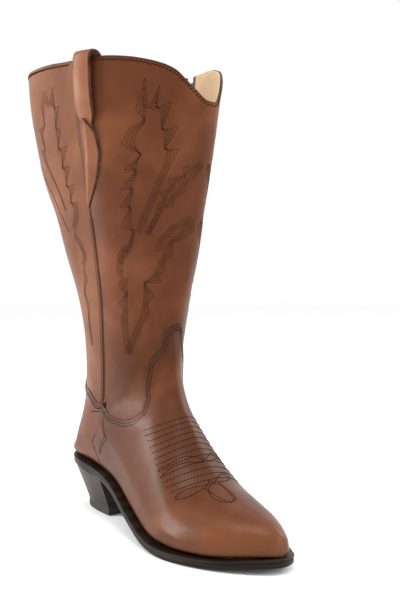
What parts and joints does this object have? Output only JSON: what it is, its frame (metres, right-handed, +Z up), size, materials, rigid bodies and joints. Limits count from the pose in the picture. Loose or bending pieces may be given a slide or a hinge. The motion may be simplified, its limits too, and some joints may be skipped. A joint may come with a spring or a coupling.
{
  "type": "cowboy boot",
  "caption": "Tall western boot for the right foot: pointed toe, slanted block heel, scalloped vamp line, dipped topline, side pull strap and an inner-side zip with a running slider",
  "frame": {"origin": "on the ground under the centre of the bounding box", "axes": "+X toward the toe, +Z up, -Y lateral (outer) side with the pull strap, +Y medial (inner) side with the zip"},
  "size_m": [0.3212, 0.1197, 0.3804],
  "materials": {
    "vamp_leather": "burnished semi-gloss",
    "shaft_leather": "smooth semi-gloss",
    "piping_leather": "smooth",
    "lining_leather": "matte",
    "stiffener_board": "matte",
    "insole_board": "matte",
    "spring_steel": "brushed",
    "cork": "matte",
    "welt_leather": "waxed",
    "sole_leather": "waxed edge",
    "heel_stack": "waxed stack",
    "lift_rubber": "matte",
    "zip_tape": "woven",
    "zip_metal": "aged"
  },
  "bodies": {
    "boot": {"vamp": "vamp_leather", "heel_counter_cover": "vamp_leather", "front_shaft_panel": "shaft_leather", "back_shaft_panel": "shaft_leather", "lateral_seam_piping": "piping_leather", "pull_strap": "shaft_leather", "pull_strap_patch": "shaft_leather", "front_shaft_lining": "lining_leather", "back_shaft_lining": "lining_leather", "vamp_lining": "lining_leather", "heel_lining": "lining_leather", "toe_puff": "stiffener_board", "heel_stiffener": "stiffener_board", "insole_board": "insole_board", "sock_liner": "lining_leather", "shank": "spring_steel", "cork_filler": "cork", "welt": "welt_leather", "outsole": "sole_leather", "heel_block": "heel_stack", "top_lift": "lift_rubber", "heel_nails": "spring_steel", "zip_tape_front": "zip_tape", "zip_tape_back": "zip_tape", "zip_teeth_front": "zip_metal", "zip_teeth_back": "zip_metal", "zip_top_stops": "zip_metal", "zip_bottom_stop": "zip_metal", "zip_guard": "lining_leather"},
    "slider": {"zip_slider": "zip_metal"},
    "pull": {"zip_pull": "zip_metal"}
  },
  "joints": [
    {"name": "zip_slide", "type": "slide", "parent": "boot", "child": "slider", "axis": [0.0678, 0.0498, 0.9965], "range_m": [-0.25, 0]},
    {"name": "pull_hinge", "type": "hinge", "parent": "slider", "child": "pull", "pos_m": [-0.01721, 0.05805, 0.34983], "axis": [0.9977, 0, -0.0678], "range_deg": [0, 150]}
  ]
}
